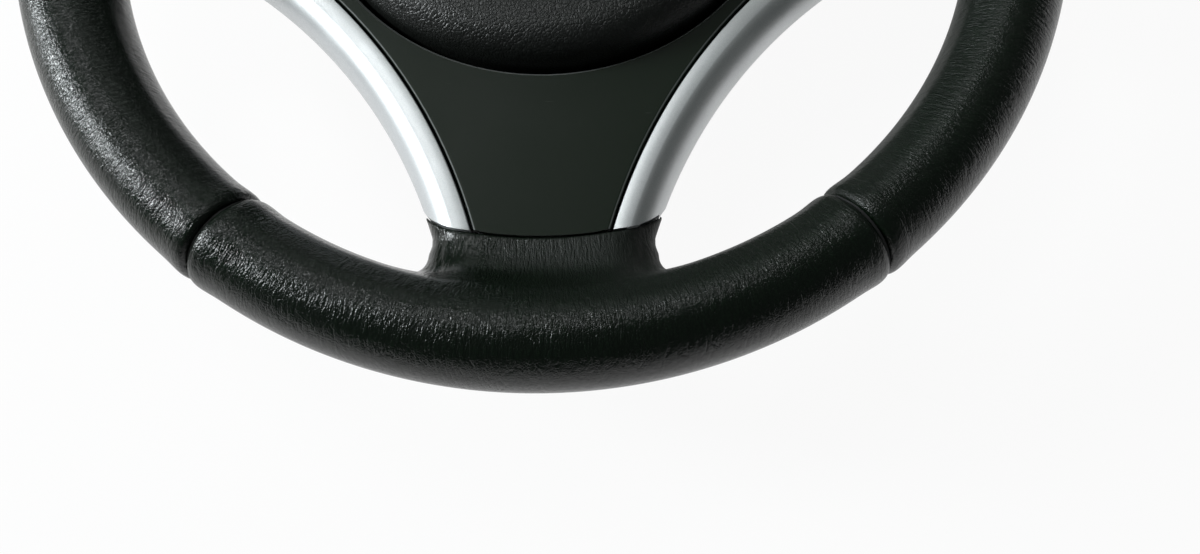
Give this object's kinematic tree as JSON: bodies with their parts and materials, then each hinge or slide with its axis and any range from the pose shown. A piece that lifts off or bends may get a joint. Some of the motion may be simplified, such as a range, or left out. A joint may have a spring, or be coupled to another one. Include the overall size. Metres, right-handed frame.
{
  "type": "car steering wheel",
  "caption": "Leather-gripped car steering wheel with spokes in a bezel, silver arc trims, and a sprung airbag module that presses in to sound the horn.",
  "frame": {"origin": "centre of the hub bore's mouth, on the steering axis", "axes": "+Z along the steering axis towards the driver, +Y towards twelve o'clock, +X to the right as the driver sees it"},
  "size_m": [0.375, 0.375, 0.09],
  "materials": {
    "cast_magnesium": "as cast",
    "hub_steel": "machined",
    "moulded_foam": "moulded skin",
    "grip_leather": "fine pebbled, worn satin",
    "bezel_plastic": "matt, fine spark grain",
    "silver_trim": "satin silver paint",
    "cover_plastic": "grained",
    "screw_steel": "zinc plated",
    "airbag_skin": "soft, pebbled",
    "tray_steel": "pressed, zinc plated",
    "bag_fabric": "folded woven nylon",
    "inflator_metal": "satin",
    "bush_plastic": "natural",
    "spring_steel": "drawn wire"
  },
  "bodies": {
    "wheel": {"armature": "cast_magnesium", "hub_insert": "hub_steel", "rim_foam": "moulded_foam", "leather_lower": "grip_leather", "leather_left": "grip_leather", "leather_right": "grip_leather", "leather_top": "grip_leather", "front_bezel": "bezel_plastic", "trim_left": "silver_trim", "trim_right": "silver_trim", "rear_cover": "cover_plastic", "cover_screws": "screw_steel", "spring_insulators": "bush_plastic", "retaining_wires": "spring_steel", "horn_spring_1": "spring_steel", "horn_spring_2": "spring_steel", "horn_spring_3": "spring_steel"},
    "airbag_module": {"airbag_cover": "airbag_skin", "airbag_housing": "tray_steel", "airbag_cushion": "bag_fabric", "cushion_ring": "tray_steel", "inflator": "inflator_metal", "inflator_nuts": "screw_steel", "guide_pins": "screw_steel"}
  },
  "joints": [
    {"name": "horn_press", "type": "slide", "parent": "wheel", "child": "airbag_module", "axis": [0, 0, -1], "range_m": [0, 0.0025], "stiffness_N_per_m": 9000, "springref_m": -0.0025, "deforming": ["horn_spring_1", "horn_spring_2", "horn_spring_3"]}
  ]
}
